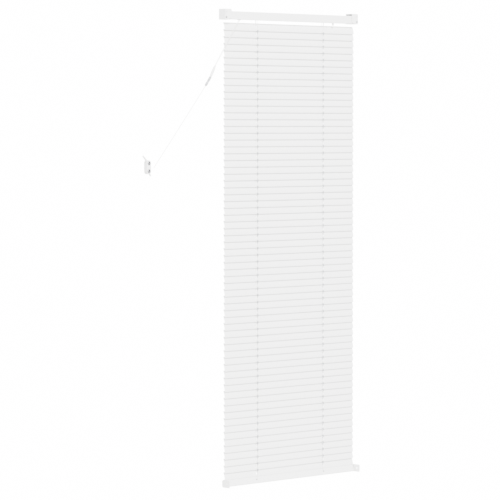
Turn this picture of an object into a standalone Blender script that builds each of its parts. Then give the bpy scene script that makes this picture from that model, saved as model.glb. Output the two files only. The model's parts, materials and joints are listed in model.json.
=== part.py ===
"""A 25 mm venetian blind, 600 mm wide and 1500 mm tall, fully lowered with its slats closed.

X runs along the headrail, the wall is the plane Y = 0 with the room towards -Y, and Z is up.
The origin is on the wall plane, midway between the brackets, level with their tops.
Lengths here are in millimetres, and place() turns them into metres.
"""

import math

import bmesh
import bpy
from mathutils import Matrix, Vector

MM = 0.001

# Headrail and the line that every slat, drum and rod is centred on
RAIL_HALF = 300.0
AXIS_Y = -14.2
RAIL_DEPTH = 24.0
RAIL_TOP = -7.1
RAIL_BOTTOM = -31.9
RAIL_WALL = 0.8
LIP = 3.0
ROD_Z = -19.5
ROD_HALF = 2.0
BORE_HALF = 2.3

# Slats
SLAT_COUNT = 67
HINGED_EVERY = 3
SLAT_LENGTH = 590.0
SLAT_WIDTH = 25.0
SLAT_CROWN = 1.8
SLAT_THICK = 0.3
TILT = math.radians(75.0)
STACK_TOP = -41.6
STACK_HEIGHT = 1432.0
SLOT_HALF_LENGTH = 7.0
SLOT_HALF_WIDTH = 1.4
FIRST_SLAT_Z = STACK_TOP - SLAT_WIDTH / 2 * math.sin(TILT)
PITCH = (STACK_HEIGHT - SLAT_WIDTH * math.sin(TILT)) / (SLAT_COUNT - 1)

# Ladders and lift cords
LADDER_X = 150.0
LIFT_X = 153.5
LADDER_TAPE = 1.2
STRING_Y = 5.0
STRING_THICK = 0.8
LIFT_RADIUS = 0.7

# Bottom rail
BOTTOM_Z = STACK_TOP - STACK_HEIGHT - 11.0
BOTTOM_WIDTH = 24.0
BOTTOM_THICK = 9.0
BOTTOM_HALF = 291.0
CAP_END = 295.0

# Brackets
BRACKET_OUT = 303.0
BRACKET_IN = 275.0
BRACKET_HEIGHT = 33.4
BRACKET_FRONT = -27.3
PLATE = 1.2
GATE_BACK = -27.7
GATE_FRONT = -28.7
RIVET_X = 298.0
RIVET_Z = -26.0

# Tilter and cord lock
TILTER_X = 192.0
STEM_Y = AXIS_Y - 7.0
STEM_RADIUS = 3.6
STEM_END = -40.5
LOCK_X = -232.0
STRAND_Y = AXIS_Y - 6.4
CORD_RADIUS = 0.7

# Wall cleat
CLEAT_X = -613.0
CLEAT_Z = -490.0
CLEAT_FRONT = -13.0
SCREW_SPACING = 24.0

# Cord routes, from the lock's throat to the connector and on to the cleat
STRAND_ROUTES = {
    "left": [(-236.0, STRAND_Y, -34.6), (-246.0, -21.4, -46.0), (-292.0, -21.6, -108.0), (-339.2, -21.4, -174.2)],
    "right": [(-232.0, STRAND_Y, -34.6), (-241.0, -21.4, -46.0), (-288.0, -21.6, -108.0), (-337.2, -21.4, -175.8)],
}
CAP_START = Vector((-338.6, -21.4, -175.4))
BODY_START = Vector((-360.6, -21.2, -213.8))
BODY_END = Vector((-381.4, -20.8, -240.6))
SINGLE_ROUTE = [(-381.9, -20.8, -241.3), (-440.0, -18.4, -311.3), (-520.0, -16.2, -405.5), (-594.8, -14.5, -492.4)]

WHITE = ("white_enamel", (0.83, 0.83, 0.82), 0.35, 0.0)
NYLON = ("white_nylon", (0.80, 0.80, 0.79), 0.45, 0.0)
CORD = ("white_cord", (0.82, 0.82, 0.80), 0.85, 0.0)
STEEL = ("zinc_steel", (0.55, 0.55, 0.56), 0.35, 1.0)
GREY = ("grey_plastic", (0.45, 0.46, 0.47), 0.45, 0.0)


def clear_scene():
    for obj in list(bpy.data.objects):
        bpy.data.objects.remove(obj)


def material(finish):
    """The finish's material, made on its first use."""
    name, colour, roughness, metallic = finish
    found = bpy.data.materials.get(name)
    if found:
        return found
    made = bpy.data.materials.new(name)
    made.use_nodes = True
    shader = made.node_tree.nodes["Principled BSDF"]
    shader.inputs["Base Color"].default_value = (*colour, 1.0)
    shader.inputs["Roughness"].default_value = roughness
    shader.inputs["Metallic"].default_value = metallic
    return made


def mesh_of(name, shape):
    """A mesh in metres from a bmesh in millimetres, with its faces pointing out."""
    bmesh.ops.remove_doubles(shape, verts=shape.verts, dist=1e-4)
    bmesh.ops.recalc_face_normals(shape, faces=shape.faces)
    bmesh.ops.scale(shape, vec=(MM, MM, MM), verts=shape.verts)
    mesh = bpy.data.meshes.new(name)
    shape.to_mesh(mesh)
    shape.free()
    return mesh


def place(name, mesh, finish, origin=(0, 0, 0), rotation_x=0.0):
    """Links an object for this mesh, with its origin at this point in millimetres."""
    if not mesh.materials:
        mesh.materials.append(material(finish))
    obj = bpy.data.objects.new(name, mesh)
    obj.location = Vector(origin) * MM
    obj.rotation_euler.x = rotation_x
    bpy.context.scene.collection.objects.link(obj)
    return obj


def combine(obj, shapes, operation):
    """Joins or cuts this object with each shape, given in the object's own axes."""
    for i, shape in enumerate(shapes):
        tool = place(f"{obj.name}_{operation.lower()}_{i}", mesh_of(obj.name, shape), WHITE)
        tool.matrix_world = obj.matrix_basis.copy()
        tool.hide_render = True
        tool.display_type = "WIRE"
        modifier = obj.modifiers.new(f"{operation.lower()}_{i}", "BOOLEAN")
        modifier.operation = operation
        modifier.solver = "EXACT"
        modifier.object = tool
    return obj


def box(low, high):
    shape = bmesh.new()
    size = [b - a for a, b in zip(low, high)]
    centre = [(a + b) / 2 for a, b in zip(low, high)]
    bmesh.ops.create_cube(shape, size=1.0, matrix=Matrix.Translation(centre) @ Matrix.Diagonal((*size, 1.0)))
    return shape


def rod(start, end, radius, sides=12, end_radius=None):
    """A round bar, or a cone when the end's radius is given."""
    shape = bmesh.new()
    start, end = Vector(start), Vector(end)
    turn = (end - start).to_track_quat("Z", "Y").to_matrix().to_4x4()
    bmesh.ops.create_cone(
        shape,
        cap_ends=True,
        segments=sides,
        radius1=radius,
        radius2=radius if end_radius is None else end_radius,
        depth=(end - start).length,
        matrix=Matrix.Translation((start + end) / 2) @ turn,
    )
    return shape


def prism(outline, axis, low, high):
    """An outline in the other two axes, taken in X, Y, Z order, pulled from low to high along this axis."""
    shape = bmesh.new()
    points = [Vector(point).to_3d() for point in outline]
    for point in points:
        along = [point.x, point.y]
        along.insert("XYZ".index(axis), low)
        shape.verts.new(along)
    face = shape.faces.new(shape.verts)
    moved = bmesh.ops.extrude_face_region(shape, geom=[face], use_keep_orig=True)["geom"]
    step = [0.0, 0.0, 0.0]
    step["XYZ".index(axis)] = high - low
    bmesh.ops.translate(shape, vec=step, verts=[g for g in moved if isinstance(g, bmesh.types.BMVert)])
    return shape


def turned(profile, base, direction, sides=16):
    """A turned solid: (radius, height) points from the axis out and back, spun about this direction."""
    shape = bmesh.new()
    verts = [shape.verts.new((radius, 0.0, height)) for radius, height in profile]
    edges = [shape.edges.new(pair) for pair in zip(verts, verts[1:])]
    bmesh.ops.spin(
        shape, geom=verts + edges, cent=(0, 0, 0), axis=(0, 0, 1), angle=math.tau, steps=sides, use_merge=True
    )
    bmesh.ops.remove_doubles(shape, verts=shape.verts, dist=1e-4)
    turn = Vector(direction).to_track_quat("Z", "Y").to_matrix().to_4x4()
    bmesh.ops.transform(shape, matrix=Matrix.Translation(base) @ turn, verts=shape.verts)
    return shape


def smooth_route(points, spacing):
    """Points at about this spacing along a smooth curve through the route's points."""
    points = [Vector(point) for point in points]
    ends = [2 * points[0] - points[1], *points, 2 * points[-1] - points[-2]]
    route = []
    for a, b, c, d in zip(ends, ends[1:], ends[2:], ends[3:]):
        count = max(1, round((c - b).length / spacing))
        for step in range(count):
            t = step / count
            route.append(
                0.5 * (2 * b + (c - a) * t + (2 * a - 5 * b + 4 * c - d) * t**2 + (3 * b - a - 3 * c + d) * t**3)
            )
    return route + [points[-1]]


def cord(name, points, spacing, radius=CORD_RADIUS):
    """A cord's tube along a smooth route."""
    curve = bpy.data.curves.new(name, "CURVE")
    curve.dimensions = "3D"
    curve.bevel_depth = radius * MM
    curve.bevel_resolution = 1
    curve.use_fill_caps = True
    spline = curve.splines.new("POLY")
    route = smooth_route(points, spacing)
    spline.points.add(len(route) - 1)
    for point, place_at in zip(spline.points, route):
        point.co = (*(place_at * MM), 1.0)
    curve.materials.append(material(CORD))
    obj = bpy.data.objects.new(name, curve)
    bpy.context.scene.collection.objects.link(obj)
    return obj


def span(side, a, b):
    """The lower and higher X of a stretch that is a to b from the middle, on this side."""
    return sorted((side * a, side * b))


def side_box(side, x, y, z):
    low, high = span(side, *x)
    return box((low, min(y), min(z)), (high, max(y), max(z)))


def make_headrail():
    half, top, bottom = RAIL_DEPTH / 2, RAIL_TOP, RAIL_BOTTOM
    inner = half - RAIL_WALL
    section = [(-half, bottom), (half, bottom), (half, top), (half - LIP, top), (half - LIP, top - RAIL_WALL)]
    section += [(inner, top - RAIL_WALL), (inner, bottom + RAIL_WALL), (-inner, bottom + RAIL_WALL)]
    section += [(-inner, top - RAIL_WALL), (LIP - half, top - RAIL_WALL), (LIP - half, top), (-half, top)]
    section = [(y + AXIS_Y, z) for y, z in section]
    rail = place("headrail", mesh_of("headrail", prism(section, "X", -RAIL_HALF, RAIL_HALF)), WHITE)
    below, above = bottom - 1, bottom + 2
    cuts = [side_box(side, (147, 156), (AXIS_Y - 6, AXIS_Y + 6), (below, above)) for side in (-1, 1)]
    cuts.append(rod((TILTER_X, STEM_Y, below), (TILTER_X, STEM_Y, above), STEM_RADIUS + 0.4))
    cuts.append(box((LOCK_X - 8.4, AXIS_Y - 9.4, below), (LOCK_X + 4.4, AXIS_Y - 2.6, above)))
    return combine(rail, cuts, "DIFFERENCE")


def make_bracket(name, side):
    shell = side_box(side, (BRACKET_IN, BRACKET_OUT), (BRACKET_FRONT, 0), (-BRACKET_HEIGHT, 0))
    bracket = place(f"bracket_{name}", mesh_of(name, shell), WHITE)
    end, low, tab = BRACKET_OUT - PLATE, PLATE - BRACKET_HEIGHT, BRACKET_FRONT + 0.8
    past = BRACKET_IN - 1
    cuts = [
        side_box(side, (past, end), (tab, -PLATE), (low, -PLATE)),
        side_box(side, (past, 291.0), (BRACKET_FRONT - 1, tab + 0.1), (low, -PLATE)),
        side_box(side, (290.0, end), (BRACKET_FRONT - 1, tab + 0.1), (-20.0, -PLATE)),
        rod((side * RIVET_X, BRACKET_FRONT - 1, RIVET_Z), (side * RIVET_X, tab + 0.5, RIVET_Z), 1.8),
    ]
    for x in (282.0, 296.0):
        cuts.append(rod((side * x, -3, -11), (side * x, 1, -11), 2.1))
        cuts.append(rod((side * x, -20, -3), (side * x, -20, 1), 2.1))
    combine(bracket, cuts, "DIFFERENCE")
    outline = [(303.0, -33.0), (303.0, -2.0), (301.5, -0.5), (276.5, -0.5), (275.0, -2.0), (275.0, -28.0), (288.0, -33.0)]
    outline = [(side * x - side * RIVET_X, z - RIVET_Z) for x, z in outline]
    gate_mesh = mesh_of(name, prism(outline, "Y", 0.0, GATE_FRONT - GATE_BACK))
    gate = place(f"bracket_gate_{name}", gate_mesh, WHITE, (side * RIVET_X, GATE_BACK, RIVET_Z))
    dot_x = side * (298.4 - RIVET_X)
    holes = [rod((0, -2, 0), (0, 1, 0), 1.8), rod((dot_x, -2, 16), (dot_x, 1, 16), 2.0)]
    combine(gate, holes, "DIFFERENCE")
    profile = [(0, -2.3), (1.5, -2.3), (1.5, 0), (3.4, 0), (3.2, 0.8), (2.0, 1.5), (0, 1.6)]
    rivet = turned(profile, (0, 0, 0), (0, -1, 0))
    place(f"gate_rivet_{name}", mesh_of(name, rivet), STEEL, (side * RIVET_X, GATE_FRONT - 0.3, RIVET_Z))


def make_tilt_gear():
    bar = box((-190 - TILTER_X, -ROD_HALF, -ROD_HALF), (225 - TILTER_X, ROD_HALF, ROD_HALF))
    place("tilt_rod", mesh_of("tilt_rod", bar), STEEL, (TILTER_X, AXIS_Y, ROD_Z))
    for name, side in (("left", -1), ("right", 1)):
        profile = [(0, -3), (8, -3), (8, -2), (6.5, -2), (6.5, 2), (8, 2), (8, 3), (0, 3)]
        wheel = mesh_of(name, turned(profile, (0, 0, 0), (1, 0, 0)))
        drum = place(f"ladder_drum_{name}", wheel, NYLON, (side * (LADDER_X - 0.5), AXIS_Y, ROD_Z))
        combine(drum, [box((-5, -BORE_HALF, -BORE_HALF), (5, BORE_HALF, BORE_HALF))], "DIFFERENCE")
        make_cradle(name, side)
    tips = 14
    outline = []
    for tooth in range(tips):
        for share, radius in ((0.0, 4.5), (0.25, 4.5), (0.5, 3.8), (0.75, 3.8)):
            angle = math.tau * (tooth + share) / tips
            outline.append((radius * math.cos(angle), radius * math.sin(angle)))
    gear = place("tilter_gear", mesh_of("gear", prism(outline, "X", -2.5, 2.5)), NYLON, (TILTER_X, AXIS_Y, ROD_Z))
    combine(gear, [box((-5, -BORE_HALF, -BORE_HALF), (5, BORE_HALF, BORE_HALF))], "DIFFERENCE")


def make_cradle(name, side):
    middle = side * (LADDER_X + 1)
    block = box((middle - 9, AXIS_Y - 10.8, -30.8), (middle + 9, AXIS_Y + 10.8, ROD_Z))
    cradle = place(f"drum_cradle_{name}", mesh_of(name, block), NYLON)
    low, high = span(side, 145.5, 156.5)
    cuts = [
        rod((middle - 12, AXIS_Y, ROD_Z), (middle + 12, AXIS_Y, ROD_Z), 4.0),
        rod((low, AXIS_Y, ROD_Z), (high, AXIS_Y, ROD_Z), 8.6, 16),
        box((low, AXIS_Y - 6, -33), (high, AXIS_Y + 7, ROD_Z + 1)),
    ]
    combine(cradle, cuts, "DIFFERENCE")


def make_tilter():
    low, high = (TILTER_X - 9, AXIS_Y - 10.9, -30.8), (TILTER_X + 9, AXIS_Y + 7.0, -11.0)
    housing = place("tilter_housing", mesh_of("housing", box(low, high)), NYLON)
    cuts = [
        box((low[0] + 3.5, low[1] + 0.6, -29.0), (high[0] - 3.5, high[1] - 1.6, high[2] + 1)),
        rod((low[0] - 1, AXIS_Y, ROD_Z), (high[0] + 1, AXIS_Y, ROD_Z), 4.0),
        rod((TILTER_X, STEM_Y, -33), (TILTER_X, STEM_Y, -28), STEM_RADIUS - 0.3),
    ]
    combine(housing, cuts, "DIFFERENCE")
    profile = [(0, -21), (2.4, -21), (3.6, -19.8), (3.6, -12.0), (2.9, -12.0), (2.9, -9.2), (2.2, -9.2)]
    profile += [(2.2, 6.5), (1.4, 7.5), (0, 7.5)]
    worm = turned(profile, (0, 0, 0), (0, 0, 1), 12)
    place("tilter_worm", mesh_of("worm", worm), NYLON, (TILTER_X, STEM_Y, ROD_Z))


def make_cord_lock():
    low, high = (LOCK_X - 14, AXIS_Y - 10.6, -30.8), (LOCK_X + 14, AXIS_Y + 9, -13.0)
    lock = place("cord_lock", mesh_of("lock", box(low, high)), NYLON)
    throat = box((LOCK_X - 8, AXIS_Y - 9, -34.0), (LOCK_X + 4, AXIS_Y - 3, -30.0))
    combine(lock, [throat], "UNION")
    cuts = [
        box((LOCK_X - 7, AXIS_Y - 8, -35.0), (LOCK_X + 3, AXIS_Y - 4, -12.0)),
        box((LOCK_X - 7, AXIS_Y - 8, -27.0), (LOCK_X + 9, AXIS_Y + 6, -12.0)),
    ]
    combine(lock, cuts, "DIFFERENCE")
    roller = turned([(0, -5.5), (1, -5.5), (2.8, -5), (2.8, 5), (1, 5.5), (0, 5.5)], (0, 0, 0), (0, 1, 0), 12)
    place("cord_lock_roller", mesh_of("roller", roller), STEEL, (LOCK_X + 4.5, AXIS_Y - 1, ROD_Z - 2))


def slat_sheet(slotted):
    """One curved slat lying flat, convex side up, as a closed thin shell."""
    shape = bmesh.new()
    slots = [LIFT_X - SLOT_HALF_WIDTH, LIFT_X + SLOT_HALF_WIDTH] if slotted else []
    along = sorted([-SLAT_LENGTH / 2, SLAT_LENGTH / 2, *slots, *[-x for x in slots]])
    half = SLAT_WIDTH / 2
    across = [-half, -SLOT_HALF_LENGTH, 0.0, SLOT_HALF_LENGTH, half]
    rows = [[shape.verts.new((x, y, SLAT_CROWN * (0.5 - (y / half) ** 2))) for y in across] for x in along]
    for i, (row, following) in enumerate(zip(rows, rows[1:])):
        for j in range(len(across) - 1):
            if slotted and i in (1, 3) and j in (1, 2):
                continue
            shape.faces.new((row[j], following[j], following[j + 1], row[j + 1]))
    moved = bmesh.ops.extrude_face_region(shape, geom=shape.faces[:], use_keep_orig=True)["geom"]
    bmesh.ops.translate(shape, vec=(0, 0, SLAT_THICK), verts=[g for g in moved if isinstance(g, bmesh.types.BMVert)])
    return shape


def make_slats():
    """Every third slat is its own hinged node. The others make one node, joined by the two lift cords."""
    mesh = mesh_of("slat", slat_sheet(True))
    between = []
    for number in range(1, SLAT_COUNT + 1):
        z = FIRST_SLAT_Z - (number - 1) * PITCH
        if (number - 1) % HINGED_EVERY == 0:
            place(f"slat_{number:02d}", mesh, WHITE, (0, AXIS_Y, z), TILT)
            continue
        sheet = slat_sheet(False)
        bmesh.ops.rotate(sheet, cent=(0, 0, 0), matrix=Matrix.Rotation(TILT, 3, "X"), verts=sheet.verts)
        bmesh.ops.translate(sheet, vec=(0, AXIS_Y, z), verts=sheet.verts)
        between.append(sheet)
    joined = bmesh.new()
    for sheet in between:
        copied = mesh_of("between", sheet)
        joined.from_mesh(copied)
        bpy.data.meshes.remove(copied)
    bmesh.ops.scale(joined, vec=(1 / MM, 1 / MM, 1 / MM), verts=joined.verts)
    group = place("slats_between", mesh_of("slats_between", joined), WHITE)
    last = FIRST_SLAT_Z - (SLAT_COUNT - 1) * PITCH
    cords = [
        rod((side * LIFT_X, AXIS_Y, last - 9), (side * LIFT_X, AXIS_Y, RAIL_BOTTOM - 0.6), LIFT_RADIUS, 4)
        for side in (-1, 1)
    ]
    combine(group, cords, "UNION")


def make_ladder(name, side):
    """Front and rear string with a bent rung behind each slat, as one flat tape."""
    shape = bmesh.new()
    x = side * LADDER_X - LADDER_TAPE / 2
    outer, inner = STRING_Y + STRING_THICK / 2, STRING_Y - STRING_THICK / 2
    rung = 0.8

    def point(y, z):
        return shape.verts.new((x, AXIS_Y + y, z))

    upper = [point(y, ROD_Z - 8.6) for y in (-outer, -inner, inner, outer)]
    front, rear = upper[:2], upper[2:]
    for number in range(SLAT_COUNT - 1):
        z = FIRST_SLAT_Z - number * PITCH
        rear_top = [point(inner, z + 8.5 + rung), point(outer, z + 8.5 + rung)]
        rear_low = [point(inner, z + 8.5 - rung), point(outer, z + 8.5 - rung)]
        front_top = [point(-outer, z - 13.0), point(-inner, z - 13.0)]
        front_low = [point(-outer, z - 13.0 - rung), point(-inner, z - 13.0 - rung)]
        bend = [point(-1.6, z - 13.0), point(-0.9, z - 13.0 - rung)]
        shape.faces.new((*front, front_top[1], front_top[0]))
        shape.faces.new((*front_top, front_low[1], front_low[0]))
        shape.faces.new((*rear, rear_top[1], rear_top[0]))
        shape.faces.new((*rear_top, rear_low[1], rear_low[0]))
        shape.faces.new((front_top[1], bend[0], bend[1], front_low[1]))
        shape.faces.new((bend[0], rear_top[0], rear_low[0], bend[1]))
        front, rear = front_low, rear_low
    for start, ends, low in ((front, (-outer, -inner), BOTTOM_Z + 4.0), (rear, (inner, outer), BOTTOM_Z + 13.8)):
        end = [point(y, low) for y in ends]
        shape.faces.new((*start, end[1], end[0]))
    moved = bmesh.ops.extrude_face_region(shape, geom=shape.faces[:], use_keep_orig=True)["geom"]
    bmesh.ops.translate(shape, vec=(LADDER_TAPE, 0, 0), verts=[g for g in moved if isinstance(g, bmesh.types.BMVert)])
    place(f"ladder_{name}", mesh_of(name, shape), CORD)


def make_lift_run(name, side):
    """The lift cord inside the headrail, from the ladder to the cord lock's throat."""
    start = side * LIFT_X
    y = AXIS_Y + 5.2 if side > 0 else AXIS_Y + 2.5
    height = -9.4 if side > 0 else -12.0
    lock_x = LOCK_X - 1 if side > 0 else LOCK_X - 5
    points = [(start, AXIS_Y, RAIL_BOTTOM - 0.3), (start, AXIS_Y + 2, -28.5), (start, AXIS_Y + 5.6, -24)]
    points += [(start, AXIS_Y + 5.6, -16), (start, AXIS_Y + 5.6, -12.4), (start - 5, y, height)]
    points += [(lock_x + 16, y, height), (lock_x + 5, AXIS_Y, height - 1), (lock_x, STRAND_Y, height - 7)]
    points += [(lock_x, STRAND_Y, -34.2)]
    cord(f"lift_cord_run_{name}", points, 16.0, 0.6)


def make_bottom_rail():
    half_width, half_thick = BOTTOM_WIDTH / 2, BOTTOM_THICK / 2
    section = [(-half_width, 0), (-half_width + 2, half_thick), (half_width - 2, half_thick), (half_width, 0)]
    section += [(half_width - 2, -half_thick), (2 - half_width, -half_thick)]
    origin = (0, AXIS_Y, BOTTOM_Z)
    tube = mesh_of("bottom_rail", prism(section, "X", -BOTTOM_HALF, BOTTOM_HALF))
    rail = place("bottom_rail", tube, WHITE, origin, TILT)
    hollow = [(y * 0.86, z * 0.76) for y, z in section]
    bore = prism(hollow, "X", -BOTTOM_HALF - 1, BOTTOM_HALF + 1)
    combine(rail, [bore, *[rod((side * LIFT_X, 0, -8), (side * LIFT_X, 0, 8), 2.5) for side in (-1, 1)]], "DIFFERENCE")
    for name, side in (("left", -1), ("right", 1)):
        low, high = span(side, BOTTOM_HALF + 0.3, CAP_END)
        flange = prism([(y * 1.02, z * 1.04) for y, z in section], "X", low, high)
        cap = place(f"rail_cap_{name}", mesh_of(name, flange), NYLON, origin, TILT)
        low, high = span(side, BOTTOM_HALF - 8, BOTTOM_HALF + 1)
        combine(cap, [prism([(y * 0.78, z * 0.62) for y, z in section], "X", low, high)], "UNION")
        bore_end = side * (CAP_END + 1)
        combine(cap, [rod((side * (BOTTOM_HALF - 4), 0, 0), (bore_end, 0, 0), 1.8, 10)], "DIFFERENCE")
        plug = turned([(0, 0.3), (4.2, 0.3), (4.0, 1.4), (2.2, 2.0), (0, 2.0)], (0, 0, 0), (0, 0, -1), 12)
        seat = Matrix.Rotation(TILT, 3, "X") @ Vector((side * LIFT_X, 0, -half_thick))
        place(f"cord_plug_{name}", mesh_of(name, plug), NYLON, Vector(origin) + seat, TILT)


def make_hold_down(name, side):
    """A plate on the reveal with a screw hole in its front ear and a pin that the bottom rail turns on."""
    outline = [(-43.0, -8.0), (-41.0, -12.0), (-14.0, -12.0), (-10.0, -8.0), (-10.0, 8.0), (-14.0, 12.0)]
    outline += [(-41.0, 12.0), (-43.0, 8.0)]
    low, high = span(side, CAP_END + 3, CAP_END + 4.5)
    plate = prism([(y, z + BOTTOM_Z) for y, z in outline], "X", low, high)
    bracket = place(f"hold_down_{name}", mesh_of(name, plate), NYLON)
    tip, root = side * (BOTTOM_HALF - 2), side * (CAP_END + 4)
    combine(bracket, [rod((root, AXIS_Y, BOTTOM_Z), (tip, AXIS_Y, BOTTOM_Z), 1.5, 10)], "UNION")
    hole = rod((side * CAP_END, -31, BOTTOM_Z), (side * (CAP_END + 8), -31, BOTTOM_Z), 2.2)
    combine(bracket, [hole], "DIFFERENCE")


def make_pull_cords():
    for name, route in STRAND_ROUTES.items():
        cord(f"pull_cord_strand_{name}", route, 12.0)
    down = BODY_START - CAP_START
    profile = [(0, 1.0), (2.0, 1.0), (3.0, 6.0), (4.2, down.length * 0.7), (3.4, down.length - 1.0)]
    profile += [(0, down.length - 1.0)]
    place("connector_cap", mesh_of("cap", turned(profile, CAP_START, down, 12)), NYLON)
    down = BODY_END - BODY_START
    middle = down.length / 2
    profile = [(0, 0), (3.8, 0), (4.2, 2), (4.2, middle - 3), (3.4, middle), (4.2, middle + 3)]
    profile += [(4.2, down.length - 4), (2.0, down.length), (0, down.length)]
    place("connector_body", mesh_of("body", turned(profile, BODY_START, down, 12)), GREY)
    cord("pull_cord_single", SINGLE_ROUTE, 14.0, 0.9)


def make_cleat():
    """The cleat's body on the wall, its neck for the cord, one long leaning horn and one short one."""
    half_width, half_height = 8.5, 21.5
    outline = []
    for centre_z, start in ((half_height - half_width, 0), (half_width - half_height, math.pi)):
        for step in range(9):
            angle = start + math.pi * step / 8
            outline.append((half_width * math.cos(angle), centre_z + half_width * math.sin(angle)))
    origin = (CLEAT_X, 0, CLEAT_Z)
    body = mesh_of("cleat", prism(outline, "Y", CLEAT_FRONT, 0))
    cleat = place("cord_cleat", body, WHITE, origin)
    horns = [
        rod((-2, -9, 15), (-25, -12.5, 34.5), 3.6, 10, 2.2),
        rod((2, -8, -14), (9, -10.5, -27.5), 3.6, 10, 2.4),
    ]
    combine(cleat, horns, "UNION")
    cuts = [box((6.0, -10.5, -3.0), (9.5, -6.5, 3.0))]
    for z in (-SCREW_SPACING / 2, SCREW_SPACING / 2):
        cuts.append(rod((0, CLEAT_FRONT - 4, z), (0, CLEAT_FRONT + 3.2, z), 6.2, 16))
        cuts.append(rod((0, CLEAT_FRONT + 2, z), (0, 1, z), 2.2, 10))
    combine(cleat, cuts, "DIFFERENCE")
    for name, z in (("lower", -SCREW_SPACING / 2), ("upper", SCREW_SPACING / 2)):
        profile = [(0, -9.2), (1.9, -9.2), (1.9, 0), (5.2, 0.0), (5.2, 1.2), (3.4, 2.4), (0, 2.7)]
        screw = turned(profile, (0, 0, 0), (0, -1, 0), 16)
        place(f"cleat_screw_{name}", mesh_of(name, screw), STEEL, (CLEAT_X, CLEAT_FRONT + 2.9, CLEAT_Z + z))


def main():
    clear_scene()
    make_headrail()
    for name, side in (("left", -1), ("right", 1)):
        make_bracket(name, side)
        make_ladder(name, side)
        make_lift_run(name, side)
        make_hold_down(name, side)
    make_tilt_gear()
    make_tilter()
    make_cord_lock()
    make_slats()
    make_bottom_rail()
    make_pull_cords()
    make_cleat()


main()
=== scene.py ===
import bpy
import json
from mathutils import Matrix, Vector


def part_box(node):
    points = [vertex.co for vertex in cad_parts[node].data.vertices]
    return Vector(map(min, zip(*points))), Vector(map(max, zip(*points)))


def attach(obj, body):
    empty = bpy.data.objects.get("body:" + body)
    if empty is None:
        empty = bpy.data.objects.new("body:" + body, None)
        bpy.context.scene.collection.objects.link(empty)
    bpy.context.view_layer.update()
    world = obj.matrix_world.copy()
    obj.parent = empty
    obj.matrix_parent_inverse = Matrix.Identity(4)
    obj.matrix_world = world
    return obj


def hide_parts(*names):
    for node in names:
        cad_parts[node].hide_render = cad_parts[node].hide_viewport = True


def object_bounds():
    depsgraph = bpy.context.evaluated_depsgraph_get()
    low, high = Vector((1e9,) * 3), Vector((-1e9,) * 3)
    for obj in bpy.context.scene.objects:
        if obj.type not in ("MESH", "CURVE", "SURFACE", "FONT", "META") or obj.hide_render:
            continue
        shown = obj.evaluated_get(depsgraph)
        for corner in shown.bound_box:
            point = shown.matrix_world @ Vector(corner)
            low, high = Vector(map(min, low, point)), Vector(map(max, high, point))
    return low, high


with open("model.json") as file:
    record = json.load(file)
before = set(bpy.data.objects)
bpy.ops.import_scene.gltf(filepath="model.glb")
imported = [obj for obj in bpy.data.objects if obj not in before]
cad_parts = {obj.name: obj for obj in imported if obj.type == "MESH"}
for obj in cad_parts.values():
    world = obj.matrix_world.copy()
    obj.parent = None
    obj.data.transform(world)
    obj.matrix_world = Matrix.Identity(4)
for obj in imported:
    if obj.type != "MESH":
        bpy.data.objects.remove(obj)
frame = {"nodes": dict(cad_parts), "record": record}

"""The looks of a narrow-slat venetian blind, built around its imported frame.

Every length below is in metres, in the frame's own axes: X along the headrail, the wall at Y = 0,
the room towards -Y and Z up.
"""

import json
import logging
import math
from dataclasses import dataclass, field
from enum import Enum
from typing import Iterable, Sequence

import bmesh
import bpy
from mathutils import Matrix, Vector

LOG = logging.getLogger("blind")
ROOT = "headrail_and_fixings"
CAD_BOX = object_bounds()
CLOUD_SCALE = 14.0
CLOUD_DETAIL = 4.0
GRAIN_DETAIL = 2.0
COAT_ROUGHNESS = 0.25
BUMP_DISTANCE = 0.0002
SHARP_ANGLE = math.radians(35.0)
TUBE_ROUNDNESS = 2
MERGE_DISTANCE = 1e-6
UP = (0, 0, 1)
AXIS_X = (1, 0, 0)
ORIGIN = (0, 0, 0)
Point = tuple[float, float, float]
SIDES = (("left", -1), ("right", 1))


class Slot(Enum):
    """The record's material slots."""

    ENAMEL = "white_enamel"
    SLAT = "slat_enamel"
    NYLON = "white_nylon"
    CORD = "white_cord"
    STEEL = "zinc_steel"
    GREY = "grey_plastic"


def group_socket(
    tree: bpy.types.NodeTree, name: str, way: str, kind: str, value: object = None
) -> None:
    """Adds one socket to a node group's interface.

    Args:
        tree: The node group.
        name: The socket's name.
        way: INPUT or OUTPUT.
        kind: The socket's type name.
        value: Its default value, if it has one.
    """
    socket = tree.interface.new_socket(name=name, in_out=way, socket_type=kind)
    if value is not None:
        socket.default_value = value


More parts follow.
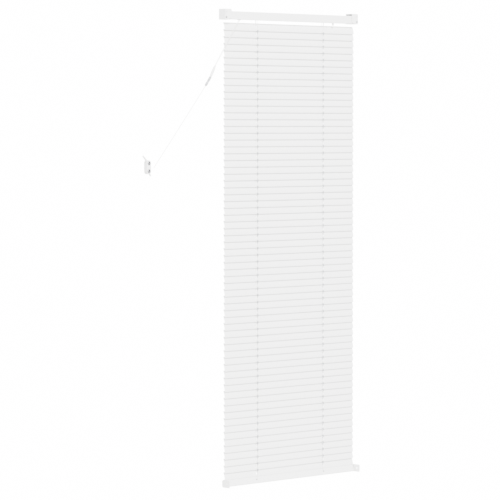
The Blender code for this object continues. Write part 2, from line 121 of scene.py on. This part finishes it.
def make_surface_group() -> bpy.types.NodeTree:
    """Builds the node group that gives a painted or moulded surface its small variation.

    Returns:
        The group: colour with faint dust, roughness with a soft mottle, and a fine grain height.
    """
    tree = bpy.data.node_groups.new("surface_variation", "ShaderNodeTree")
    group_socket(tree, "Colour", "INPUT", "NodeSocketColor", (0.85, 0.85, 0.84, 1.0))
    group_socket(tree, "Dust", "INPUT", "NodeSocketColor", (0.78, 0.77, 0.75, 1.0))
    group_socket(tree, "Dust Amount", "INPUT", "NodeSocketFloat", 0.1)
    group_socket(tree, "Roughness Low", "INPUT", "NodeSocketFloat", 0.3)
    group_socket(tree, "Roughness High", "INPUT", "NodeSocketFloat", 0.45)
    group_socket(tree, "Grain Scale", "INPUT", "NodeSocketFloat", 900.0)
    group_socket(tree, "Colour", "OUTPUT", "NodeSocketColor")
    group_socket(tree, "Roughness", "OUTPUT", "NodeSocketFloat")
    group_socket(tree, "Height", "OUTPUT", "NodeSocketFloat")
    nodes, links = tree.nodes, tree.links
    given, out = nodes.new("NodeGroupInput"), nodes.new("NodeGroupOutput")
    place = nodes.new("ShaderNodeTexCoord")
    cloud, grain = nodes.new("ShaderNodeTexNoise"), nodes.new("ShaderNodeTexNoise")
    cloud.inputs["Scale"].default_value = CLOUD_SCALE
    cloud.inputs["Detail"].default_value = CLOUD_DETAIL
    grain.inputs["Detail"].default_value = GRAIN_DETAIL
    links.new(place.outputs["Object"], cloud.inputs["Vector"])
    links.new(place.outputs["Object"], grain.inputs["Vector"])
    links.new(given.outputs["Grain Scale"], grain.inputs["Scale"])
    amount = nodes.new("ShaderNodeMath")
    amount.operation = "MULTIPLY"
    links.new(cloud.outputs["Fac"], amount.inputs[0])
    links.new(given.outputs["Dust Amount"], amount.inputs[1])
    mix = nodes.new("ShaderNodeMix")
    mix.data_type = "RGBA"
    links.new(amount.outputs[0], mix.inputs["Factor"])
    links.new(given.outputs["Colour"], mix.inputs["A"])
    links.new(given.outputs["Dust"], mix.inputs["B"])
    rough = nodes.new("ShaderNodeMapRange")
    links.new(cloud.outputs["Fac"], rough.inputs["Value"])
    links.new(given.outputs["Roughness Low"], rough.inputs["To Min"])
    links.new(given.outputs["Roughness High"], rough.inputs["To Max"])
    links.new(mix.outputs["Result"], out.inputs["Colour"])
    links.new(rough.outputs["Result"], out.inputs["Roughness"])
    links.new(grain.outputs["Fac"], out.inputs["Height"])
    return tree


@dataclass(frozen=True)
class Finish:
    """One material finish: its slot, colours, roughness range, grain and metal."""

    slot: Slot
    colour: Point
    dust: Point
    dust_amount: float
    roughness: tuple[float, float]
    grain_scale: float
    bump: float
    metallic: float = 0.0
    coat: float = 0.0
    sheen: float = 0.0

    def build(self, group: bpy.types.NodeTree) -> bpy.types.Material:
        """Makes the material.

        Args:
            group: The shared surface variation group.

        Returns:
            The finished material.
        """
        made = bpy.data.materials.new(f"finish_{self.slot.value}")
        made.use_nodes = True
        nodes, links = made.node_tree.nodes, made.node_tree.links
        shader = nodes["Principled BSDF"]
        shader.inputs["Metallic"].default_value = self.metallic
        shader.inputs["Coat Weight"].default_value = self.coat
        shader.inputs["Coat Roughness"].default_value = COAT_ROUGHNESS
        shader.inputs["Sheen Weight"].default_value = self.sheen
        surface = nodes.new("ShaderNodeGroup")
        surface.node_tree = group
        surface.inputs["Colour"].default_value = (*self.colour, 1.0)
        surface.inputs["Dust"].default_value = (*self.dust, 1.0)
        surface.inputs["Dust Amount"].default_value = self.dust_amount
        surface.inputs["Roughness Low"].default_value = self.roughness[0]
        surface.inputs["Roughness High"].default_value = self.roughness[1]
        surface.inputs["Grain Scale"].default_value = self.grain_scale
        bump = nodes.new("ShaderNodeBump")
        bump.inputs["Strength"].default_value = self.bump
        bump.inputs["Distance"].default_value = BUMP_DISTANCE
        links.new(surface.outputs["Colour"], shader.inputs["Base Color"])
        links.new(surface.outputs["Roughness"], shader.inputs["Roughness"])
        links.new(surface.outputs["Height"], bump.inputs["Height"])
        links.new(bump.outputs["Normal"], shader.inputs["Normal"])
        return made


FINISHES = (
    Finish(
        slot=Slot.ENAMEL,
        colour=(0.85, 0.85, 0.845),
        dust=(0.72, 0.71, 0.69),
        dust_amount=0.12,
        roughness=(0.28, 0.42),
        grain_scale=700.0,
        bump=0.15,
        coat=0.15,
    ),
    Finish(
        slot=Slot.SLAT,
        colour=(0.86, 0.86, 0.855),
        dust=(0.74, 0.73, 0.71),
        dust_amount=0.14,
        roughness=(0.30, 0.46),
        grain_scale=500.0,
        bump=0.10,
        coat=0.1,
    ),
    Finish(
        slot=Slot.NYLON,
        colour=(0.82, 0.82, 0.81),
        dust=(0.70, 0.69, 0.66),
        dust_amount=0.15,
        roughness=(0.42, 0.58),
        grain_scale=1100.0,
        bump=0.25,
    ),
    Finish(
        slot=Slot.CORD,
        colour=(0.82, 0.82, 0.80),
        dust=(0.62, 0.61, 0.58),
        dust_amount=0.30,
        roughness=(0.75, 0.90),
        grain_scale=1600.0,
        bump=0.90,
        sheen=0.25,
    ),
    Finish(
        slot=Slot.STEEL,
        colour=(0.30, 0.30, 0.31),
        dust=(0.18, 0.18, 0.19),
        dust_amount=0.30,
        roughness=(0.30, 0.46),
        grain_scale=900.0,
        bump=0.20,
        metallic=0.9,
    ),
    Finish(
        slot=Slot.GREY,
        colour=(0.30, 0.31, 0.32),
        dust=(0.22, 0.22, 0.23),
        dust_amount=0.25,
        roughness=(0.38, 0.52),
        grain_scale=1000.0,
        bump=0.25,
    ),
)


class Paint:
    """The materials, by slot."""

    def __init__(self) -> None:
        """Builds every finish once."""
        group = make_surface_group()
        self.by_slot = {finish.slot: finish.build(group) for finish in FINISHES}

    def dress(self, piece: bpy.types.Object, slot: Slot) -> None:
        """Gives a piece one finish.

        Args:
            piece: The object.
            slot: Its finish.
        """
        piece.data.materials.clear()
        piece.data.materials.append(self.by_slot[slot])

    def dress_frame(self) -> None:
        """Gives every carried-over node the finish of its own slot."""
        for row in frame["record"]["subparts"]:
            node, finish = frame["nodes"][row["node"]], self.by_slot[Slot(row["material_slot"])]
            if not node.material_slots:
                node.data.materials.append(finish)
            for holder in node.material_slots:
                holder.material = finish


def mesh_piece(name: str, shape: bmesh.types.BMesh) -> bpy.types.Object:
    """Turns a finished bmesh into a smooth-shaded object at the origin.

    Args:
        name: The piece's name.
        shape: Its shape, which is freed.

    Returns:
        The new object.
    """
    bmesh.ops.recalc_face_normals(shape, faces=shape.faces)
    mesh = bpy.data.meshes.new(name)
    shape.to_mesh(mesh)
    shape.free()
    mesh.shade_smooth()
    mesh.set_sharp_from_angle(angle=SHARP_ANGLE)
    piece = bpy.data.objects.new(name, mesh)
    bpy.context.scene.collection.objects.link(piece)
    return piece


def smooth_route(points: Sequence[Point], spacing: float) -> list[Vector]:
    """Reads points off a smooth curve through a route.

    Args:
        points: The route's own points.
        spacing: The distance wanted between the points read.

    Returns:
        The points, from the first to the last.
    """
    given = [Vector(point) for point in points]
    ends = [2 * given[0] - given[1], *given, 2 * given[-1] - given[-2]]
    route = []
    for a, b, c, d in zip(ends, ends[1:], ends[2:], ends[3:]):
        count = max(1, round((c - b).length / spacing))
        for step in range(count):
            t = step / count
            bend = (2 * a - 5 * b + 4 * c - d) * t**2 + (3 * b - a - 3 * c + d) * t**3
            route.append(0.5 * (2 * b + (c - a) * t + bend))
    return route + [given[-1]]


def tube_curve(name: str, radius: float) -> bpy.types.Object:
    """An empty round curve object with filled caps.

    Args:
        name: The piece's name.
        radius: The tube's radius.

    Returns:
        The object, with no splines yet.
    """
    curve = bpy.data.curves.new(name, "CURVE")
    curve.dimensions = "3D"
    curve.bevel_depth = radius
    curve.bevel_resolution = TUBE_ROUNDNESS
    curve.use_fill_caps = True
    piece = bpy.data.objects.new(name, curve)
    bpy.context.scene.collection.objects.link(piece)
    return piece


def add_run(piece: bpy.types.Object, points: Iterable[Point]) -> None:
    """Adds one run of tube to a curve object.

    Args:
        piece: The curve object.
        points: The run's centreline.
    """
    points = [Vector(point) for point in points]
    spline = piece.data.splines.new("POLY")
    spline.points.add(len(points) - 1)
    for target, point in zip(spline.points, points):
        target.co = (*point, 1.0)


def turned(
    profile: Sequence[tuple[float, float]], base: Point, direction: Point, steps: int = 32
) -> bmesh.types.BMesh:
    """Spins a profile into a closed turned solid.

    Args:
        profile: Radius and height pairs, from the axis out and back to it.
        base: Where the profile's zero height goes.
        direction: The way the heights run.
        steps: The number of sides.

    Returns:
        The turned shape.
    """
    shape = bmesh.new()
    verts = [shape.verts.new((radius, 0.0, height)) for radius, height in profile]
    edges = [shape.edges.new(pair) for pair in zip(verts, verts[1:])]
    bmesh.ops.spin(
        shape, geom=verts + edges, cent=ORIGIN, axis=UP, angle=math.tau, steps=steps, use_merge=True
    )
    bmesh.ops.remove_doubles(shape, verts=shape.verts, dist=MERGE_DISTANCE)
    turn = Vector(direction).to_track_quat("Z", "Y").to_matrix().to_4x4()
    bmesh.ops.transform(shape, matrix=Matrix.Translation(base) @ turn, verts=shape.verts)
    return shape


@dataclass
class SlatStack:
    """Sixty-seven curved aluminium slats, with a lift cord through each pair of slots."""

    count: int = 67
    hinged_every: int = 3
    length: float = 0.590
    width: float = 0.025
    crown: float = 0.0018
    thick: float = 0.0003
    tilt: float = math.radians(75.0)
    top: float = -0.0416
    height: float = 1.432
    axis_y: float = -0.0142
    lift_x: float = 0.1535
    slot_half: tuple[float, float] = (0.0014, 0.007)
    corner: float = 0.0018
    corner_steps: int = 4
    across: int = 12
    lift_radius: float = 0.0007
    lift_top_gap: float = 0.0006
    lift_low_gap: float = 0.0003

    @property
    def first(self) -> float:
        """The height of the top slat's centre line."""
        return self.top - self.width / 2 * math.sin(self.tilt)

    @property
    def pitch(self) -> float:
        """The distance from one slat's centre line to the next."""
        return (self.height - self.width * math.sin(self.tilt)) / (self.count - 1)

    def centre(self, number: int) -> float:
        """Finds one slat's height.

        Args:
            number: The slat's number, counted from 1 at the top.

        Returns:
            The height of its centre line.
        """
        return self.first - (number - 1) * self.pitch

    def shape(self, number: int) -> bmesh.types.BMesh:
        """Builds one slat in its place, closed.

        Args:
            number: The slat's number from the top.

        Returns:
            The slat as a thin closed shell with rounded corners and two slots.
        """
        shape = bmesh.new()
        bmesh.ops.create_grid(shape, x_segments=1, y_segments=self.across, size=0.5)
        bmesh.ops.scale(shape, vec=(self.length, self.width, 1.0), verts=shape.verts)
        half_x, half_y = self.slot_half
        ends = [side * self.lift_x + half for _, side in SIDES for half in (-half_x, half_x)]
        for x in ends:
            everything = shape.verts[:] + shape.edges[:] + shape.faces[:]
            bmesh.ops.bisect_plane(shape, geom=everything, plane_co=(x, 0, 0), plane_no=AXIS_X)
        slots = [
            face
            for face in shape.faces
            if abs(abs(face.calc_center_median().x) - self.lift_x) < half_x
            and abs(face.calc_center_median().y) < half_y
        ]
        bmesh.ops.delete(shape, geom=slots, context="FACES")
        near_end = self.length / 2 - self.corner
        corners = [v for v in shape.verts if len(v.link_faces) == 1 and abs(v.co.x) > near_end]
        bmesh.ops.bevel(
            shape, geom=corners, offset=self.corner, offset_type="OFFSET", segments=self.corner_steps,
            profile=0.5, affect="VERTICES", material=-1,
        )
        for vert in shape.verts:
            vert.co.z = self.crown * (0.5 - (vert.co.y * 2 / self.width) ** 2)
        moved = bmesh.ops.extrude_face_region(shape, geom=shape.faces[:], use_keep_orig=True)["geom"]
        raised = [part for part in moved if isinstance(part, bmesh.types.BMVert)]
        bmesh.ops.translate(shape, vec=(0, 0, self.thick), verts=raised)
        leaning = Matrix.Rotation(self.tilt, 3, "X")
        bmesh.ops.rotate(shape, cent=ORIGIN, matrix=leaning, verts=shape.verts)
        bmesh.ops.translate(shape, vec=(0, self.axis_y, self.centre(number)), verts=shape.verts)
        return shape

    def build(self, paint: Paint) -> None:
        """Makes the slats and the two lift cords.

        Args:
            paint: The materials.
        """
        for number in range(1, self.count + 1):
            hinged = (number - 1) % self.hinged_every == 0
            name = f"slat_{number:02d}"
            piece = mesh_piece(f"blind_{name}", self.shape(number))
            paint.dress(piece, Slot.SLAT)
            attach(piece, name if hinged else ROOT)
            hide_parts(name if hinged else "slats_between")
        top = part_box("headrail")[0].z - self.lift_top_gap
        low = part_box("bottom_rail")[1].z + self.lift_low_gap
        for name, side in SIDES:
            cord = tube_curve(f"lift_cord_{name}", self.lift_radius)
            add_run(cord, [(side * self.lift_x, self.axis_y, z) for z in (top, (top + low) / 2, low)])
            paint.dress(cord, Slot.CORD)
            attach(cord, ROOT)
            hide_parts("slats_between")
        LOG.info("slats: %d, pitch %.2f mm", self.count, self.pitch * 1000)


@dataclass
class Ladders:
    """The string ladders that hold and tilt the slats."""

    stack: SlatStack
    x: float = 0.150
    string_y: float = 0.0050
    radius: float = 0.0005
    # The next two sizes are for the grey dots on the front string at each rung: painted shade for the shadow
    # where the ladder crosses the slats' overlap. The real ladder has no knots there.
    shade_dot_radius: float = 0.0022
    shade_dot_half_length: float = 0.0034
    rear_short: float = 0.0098
    rung_front_drop: float = 0.0132
    rung_low: tuple[float, float] = (-0.0030, -0.0136)
    rung_rising: tuple[float, float] = (-0.0012, -0.0130)
    rung_back_rise: float = 0.0085

    def rung(self, x: float, number: int) -> list[Point]:
        """Finds the line of one rung, from the front string under the slat to the rear string.

        Args:
            x: The ladder's place along the headrail.
            number: The slat's number from the top.

        Returns:
            The rung's points.
        """
        axis_y, z = self.stack.axis_y, self.stack.centre(number)
        under = [(x, axis_y + dy, z + dz) for dy, dz in (self.rung_low, self.rung_rising)]
        front = (x, axis_y - self.string_y, z - self.rung_front_drop)
        return [front, *under, (x, axis_y + self.string_y, z + self.rung_back_rise)]

    def build(self, paint: Paint) -> None:
        """Makes both ladders: two strings, a rung behind each slat, and a grey dot on the front string at
        each rung that is painted shade for the shadow where the ladder crosses the slats' overlap.

        Args:
            paint: The materials.
        """
        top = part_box("ladder_left")[1].z
        front, back = self.stack.axis_y - self.string_y, self.stack.axis_y + self.string_y
        for name, side in SIDES:
            x = side * self.x
            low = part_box(f"ladder_{name}")[0].z
            piece = tube_curve(f"ladder_cords_{name}", self.radius)
            # Grey dots on the front string at each rung, in the grey plastic finish: painted shade standing
            # in for the shadow where the ladder passes the slats' overlap.
            painted_shade_dots = tube_curve(f"ladder_stitches_{name}", self.shade_dot_radius)
            add_run(piece, [(x, front, top), (x, front, low)])
            add_run(piece, [(x, back, top), (x, back, low + self.rear_short)])
            for number in range(1, self.stack.count):
                rung = self.rung(x, number)
                add_run(piece, rung)
                shade_dot_centre_z = rung[0][2]
                add_run(painted_shade_dots, [(x, front, shade_dot_centre_z - self.shade_dot_half_length), (x, front, shade_dot_centre_z + self.shade_dot_half_length)])
            for part, slot in ((piece, Slot.CORD), (painted_shade_dots, Slot.GREY)):
                paint.dress(part, slot)
                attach(part, ROOT)
                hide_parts(f"ladder_{name}")


@dataclass
class PullCord:
    """Two strands from the cord lock, the connector that joins them, and one cord to the cleat."""

    strand_y: float = -0.0206
    strand_radius: float = 0.0007
    strand_spacing: float = 0.012
    single_radius: float = 0.0009
    single_spacing: float = 0.014
    single: list[Point] = field(
        default_factory=lambda: [
            (-0.3819, -0.0208, -0.2413), (-0.4400, -0.0184, -0.3113), (-0.5200, -0.0162, -0.4055),
            (-0.5948, -0.0145, -0.4924),
        ]
    )

    def strands(self) -> dict[str, list[Point]]:
        """Gives the two strands' routes, the same as the frame's.

        Returns:
            Each strand's points from the cord lock down, by its side.
        """
        return {
            "left": [
                (-0.236, self.strand_y, -0.0346), (-0.246, -0.0214, -0.046), (-0.292, -0.0216, -0.108),
                (-0.3392, -0.0214, -0.1742),
            ],
            "right": [
                (-0.232, self.strand_y, -0.0346), (-0.241, -0.0214, -0.046), (-0.288, -0.0216, -0.108),
                (-0.3372, -0.0214, -0.1758),
            ],
        }

    def make(
        self, paint: Paint, node: str, points: list[Point], radius: float, spacing: float,
    ) -> None:
        """Makes one cord, puts it on the root body and hides the CAD node it stands for.

        Args:
            paint: The materials.
            node: The CAD node it stands for.
            points: Its route.
            radius: Its radius.
            spacing: The distance between the points on its line.
        """
        line = smooth_route(points, spacing)
        piece = tube_curve(f"{node}_cord", radius)
        add_run(piece, line)
        paint.dress(piece, Slot.CORD)
        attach(piece, ROOT)
        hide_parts(node)

    def build(self, paint: Paint) -> None:
        """Makes all three cords.

        Args:
            paint: The materials.
        """
        connector = TurnedFittings().build(paint)
        for name, points in self.strands().items():
            node, radius, spacing = f"pull_cord_strand_{name}", self.strand_radius, self.strand_spacing
            self.make(paint, node, points, radius, spacing)
        node, radius, spacing = "pull_cord_single", self.single_radius, self.single_spacing
        self.make(paint, node, self.single, radius, spacing)


@dataclass
class TurnedFittings:
    """The small turned pieces: the cord connector and the cleat's cupped screws."""

    cap_start: Point = (-0.3386, -0.0214, -0.1754)
    body_start: Point = (-0.3606, -0.0212, -0.2138)
    body_end: Point = (-0.3814, -0.0208, -0.2406)
    cleat: Point = (-0.613, -0.013, -0.490)
    screw_spacing: float = 0.024
    screw_depth: float = 0.0029
    screw_sides: int = 48

    def add(self, paint: Paint, node: str, shape: bmesh.types.BMesh, slot: Slot) -> bpy.types.Object:
        """Adds one piece that stands for its node, on that node's body.

        Args:
            paint: The materials.
            node: The CAD node.
            shape: The piece's shape.
            slot: Its finish.

        Returns:
            The piece.
        """
        piece = mesh_piece(f"turned_{node}", shape)
        paint.dress(piece, slot)
        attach(piece, ROOT)
        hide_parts(node)
        return piece

    def build(self, paint: Paint) -> list[bpy.types.Object]:
        """Makes the pieces.

        Args:
            paint: The materials.

        Returns:
            The connector's cap and body, for the cords that they are on.
        """
        cap_way = Vector(self.body_start) - Vector(self.cap_start)
        length = cap_way.length
        cap = [(0, 0.001), (0.0016, 0.001), (0.0022, 0.0016), (0.0030, 0.006), (0.0037, 0.013)]
        cap += [(0.0042, 0.022), (0.0042, length * 0.72), (0.0039, length * 0.8)]
        cap += [(0.0034, length - 0.0014), (0.0031, length - 0.001), (0, length - 0.001)]
        body_way = Vector(self.body_end) - Vector(self.body_start)
        length = body_way.length
        middle = length / 2
        body = [(0, 0), (0.0036, 0), (0.0041, 0.0005), (0.0042, 0.002), (0.0042, middle - 0.003)]
        body += [(0.0035, middle - 0.0022), (0.0034, middle), (0.0035, middle + 0.0022)]
        body += [(0.0042, middle + 0.003), (0.0042, length - 0.005), (0.0037, length - 0.002)]
        body += [(0.0022, length - 0.0002), (0, length)]
        made = [
            self.add(paint, "connector_cap", turned(cap, self.cap_start, cap_way), Slot.NYLON),
            self.add(paint, "connector_body", turned(body, self.body_start, body_way), Slot.GREY),
        ]
        screw = [(0, -0.009), (0.0019, -0.009), (0.0019, 0), (0.0058, 0), (0.0061, 0.0012)]
        screw += [(0.0060, 0.0042), (0.0053, 0.0048), (0.0048, 0.0040), (0.0046, 0.0016)]
        screw += [(0.0036, 0.0020), (0.0022, 0.0029), (0.0012, 0.0031), (0.0011, 0.0018), (0, 0.0018)]
        x, y, z = self.cleat
        for name, side in (("lower", -1), ("upper", 1)):
            at = (x, y + self.screw_depth, z + side * self.screw_spacing / 2)
            shape = turned(screw, at, (0, -1, 0), self.screw_sides)
            self.add(paint, f"cleat_screw_{name}", shape, Slot.STEEL)
        return made


@dataclass
class Studio:
    """A pale floor, soft light and the camera."""

    camera_at: Point = (-6.48, -6.3142, -0.3676)
    pitch: float = math.radians(-2.49)
    yaw: float = math.radians(-45.0)
    lens: float = 203.7
    sensor: float = 36.0
    farthest: float = 100.0
    floor_below: float = 0.6
    floor_half: float = 1.8
    paper: Point = (0.95, 0.95, 0.95)
    paper_roughness: float = 0.9
    floor_cells: int = 4
    world_light: float = 3.5
    backdrop_light: float = 16.0
    key_at: Point = (-3.2, -6.0, 5.6)
    key_aim: Point = (0.0, 0.0, -0.7)
    key_size: float = 2.0
    key_power: float = 3600.0

    def add_key(self) -> None:
        """Adds the soft area light, pointing at the blind's middle."""
        lamp = bpy.data.lights.new("key", "AREA")
        lamp.size = self.key_size
        lamp.energy = self.key_power
        holder = bpy.data.objects.new("key", lamp)
        holder.location = self.key_at
        aim = Vector(self.key_aim) - Vector(self.key_at)
        holder.rotation_euler = aim.to_track_quat("-Z", "Y").to_euler()
        bpy.context.scene.collection.objects.link(holder)

    def add_floor(self) -> None:
        """Adds the floor, well below the blind."""
        shape = bmesh.new()
        cells = self.floor_cells
        bmesh.ops.create_grid(shape, x_segments=cells, y_segments=cells, size=self.floor_half)
        bmesh.ops.translate(shape, vec=(0, 0, CAD_BOX[0][2] - self.floor_below), verts=shape.verts)
        floor = mesh_piece("floor", shape)
        paper = bpy.data.materials.new("floor_paper")
        paper.use_nodes = True
        shader = paper.node_tree.nodes["Principled BSDF"]
        shader.inputs["Base Color"].default_value = (*self.paper, 1.0)
        shader.inputs["Roughness"].default_value = self.paper_roughness
        floor.data.materials.append(paper)

    def add_world(self) -> None:
        """Adds even light from all round, with a brighter backdrop where the camera sees it."""
        world = bpy.data.worlds.new("soft_white")
        world.use_nodes = True
        nodes, links = world.node_tree.nodes, world.node_tree.links
        background, rays = nodes["Background"], nodes.new("ShaderNodeLightPath")
        background.inputs["Color"].default_value = (1, 1, 1, 1)
        strength = nodes.new("ShaderNodeMapRange")
        strength.inputs["To Min"].default_value = self.world_light
        strength.inputs["To Max"].default_value = self.backdrop_light
        links.new(rays.outputs["Is Camera Ray"], strength.inputs["Value"])
        links.new(strength.outputs["Result"], background.inputs["Strength"])
        bpy.context.scene.world = world

    def add_camera(self) -> None:
        """Adds the camera."""
        camera = bpy.data.cameras.new("camera")
        camera.sensor_width = self.sensor
        camera.lens = self.lens
        camera.clip_end = self.farthest
        holder = bpy.data.objects.new("camera", camera)
        holder.location = self.camera_at
        holder.rotation_euler = (math.pi / 2 + self.pitch, 0.0, self.yaw)
        bpy.context.scene.collection.objects.link(holder)
        bpy.context.scene.camera = holder

    def build(self) -> None:
        """Makes the floor, the lights and the camera."""
        self.add_floor()
        self.add_world()
        self.add_key()
        self.add_camera()


def main() -> None:
    """Builds the camera and cords first, then the rest of the blind."""
    logging.basicConfig(level=logging.INFO)
    paint = Paint()
    Studio().build()
    PullCord().build(paint)
    paint.dress_frame()
    stack = SlatStack()
    stack.build(paint)
    Ladders(stack).build(paint)


if __name__ == "__main__":
    main()
